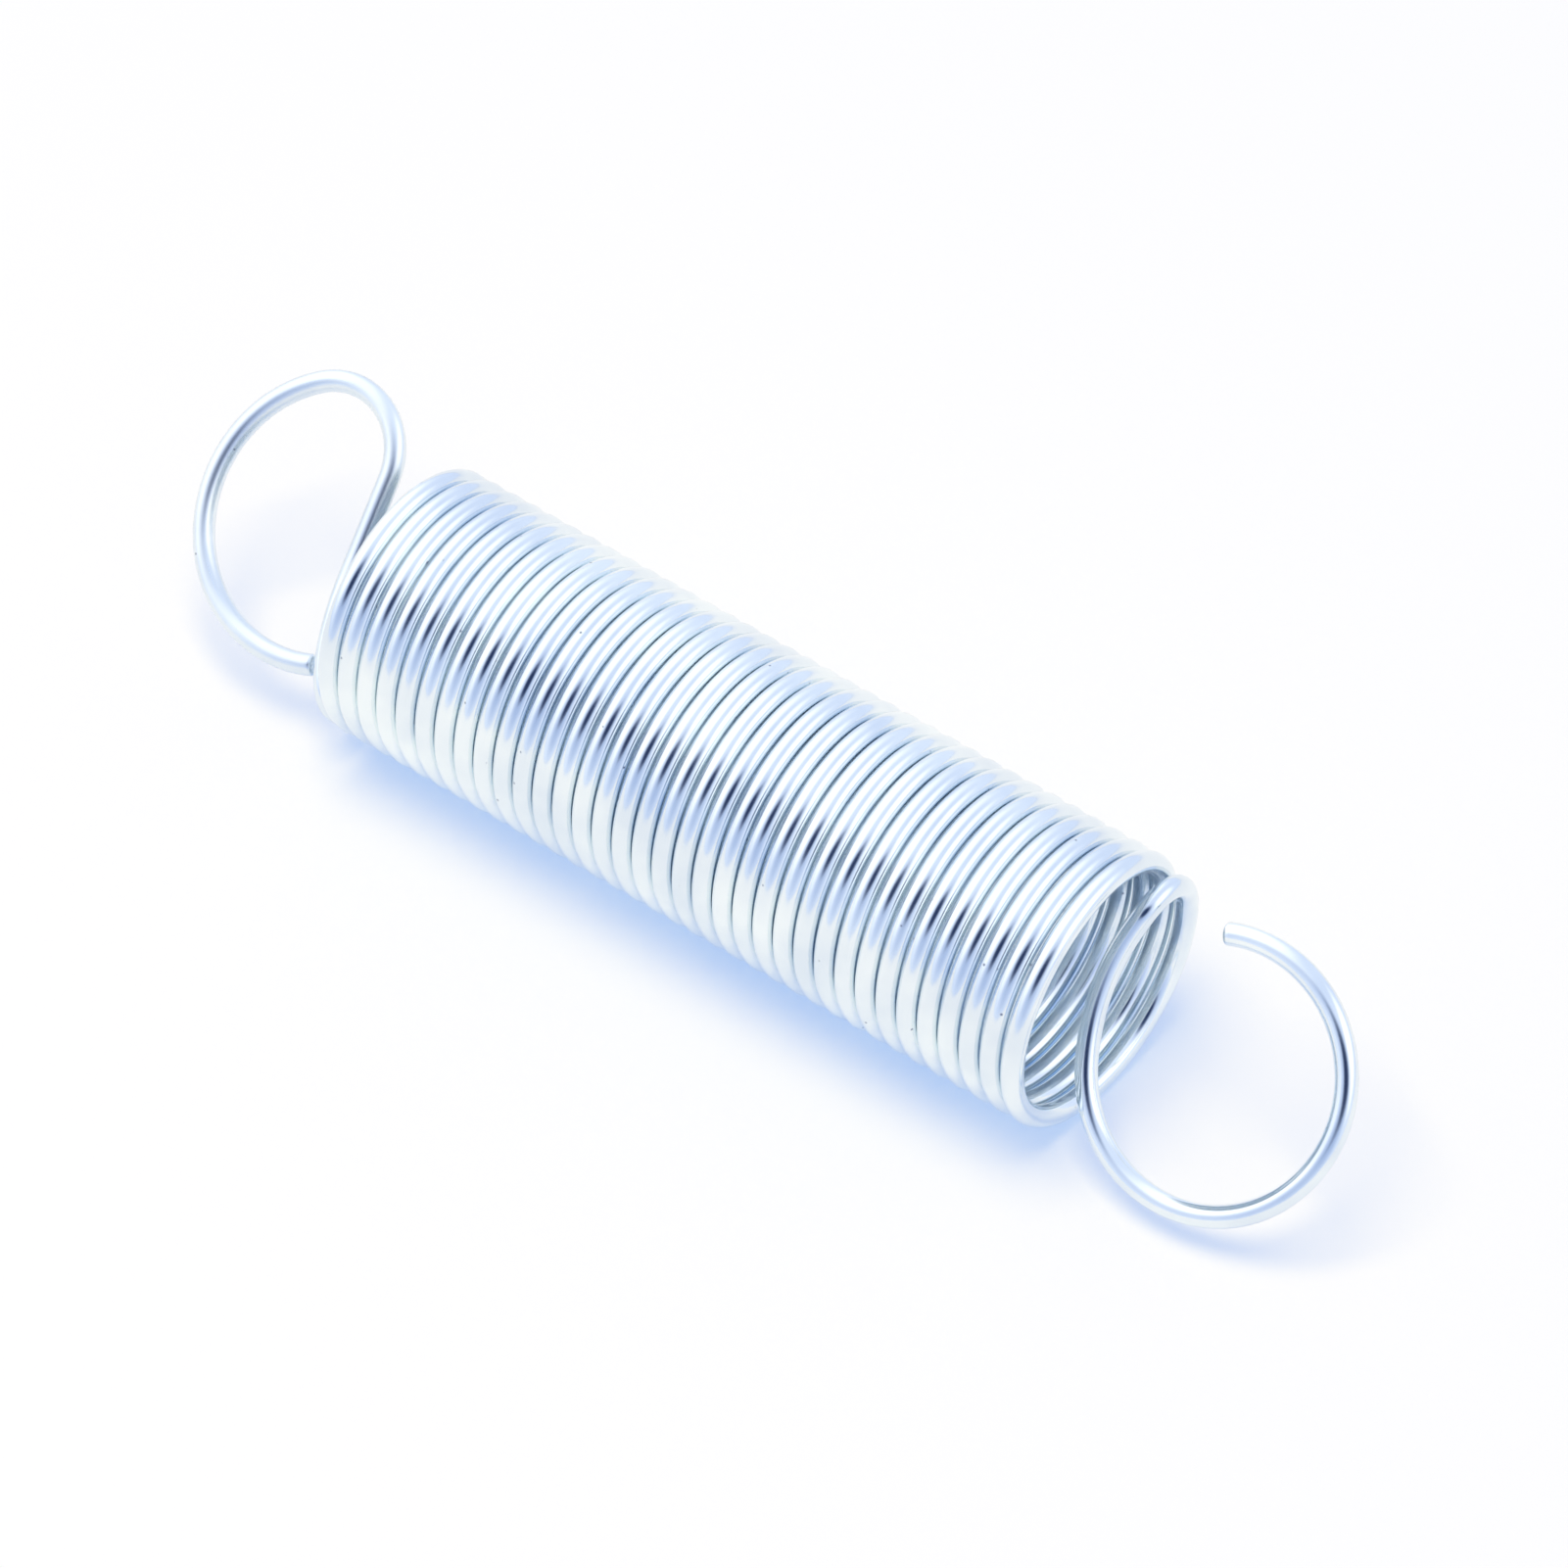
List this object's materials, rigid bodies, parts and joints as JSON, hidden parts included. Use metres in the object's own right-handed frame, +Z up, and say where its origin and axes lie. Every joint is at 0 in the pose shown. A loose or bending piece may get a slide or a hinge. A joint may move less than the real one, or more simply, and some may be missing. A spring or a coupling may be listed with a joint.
{
  "type": "extension spring",
  "caption": "Close-wound extension spring of round wire with a large open eye at each end.",
  "frame": {"origin": "centre of the overall box at its base: under the coil's axis, halfway between the two eyes' outer ends, on the surface the spring lies on", "axes": "+X along the coil from the far eye to the near, larger eye; +Z up, square to the surface; +Y completes the right-handed frame"},
  "size_m": [0.0988, 0.0202, 0.0203],
  "materials": {
    "spring_wire": "bright zinc-plated drawn spring steel wire, glossy with faint drawing marks"
  },
  "bodies": {
    "root": {"spring_wire": "spring_wire"}
  },
  "joints": []
}
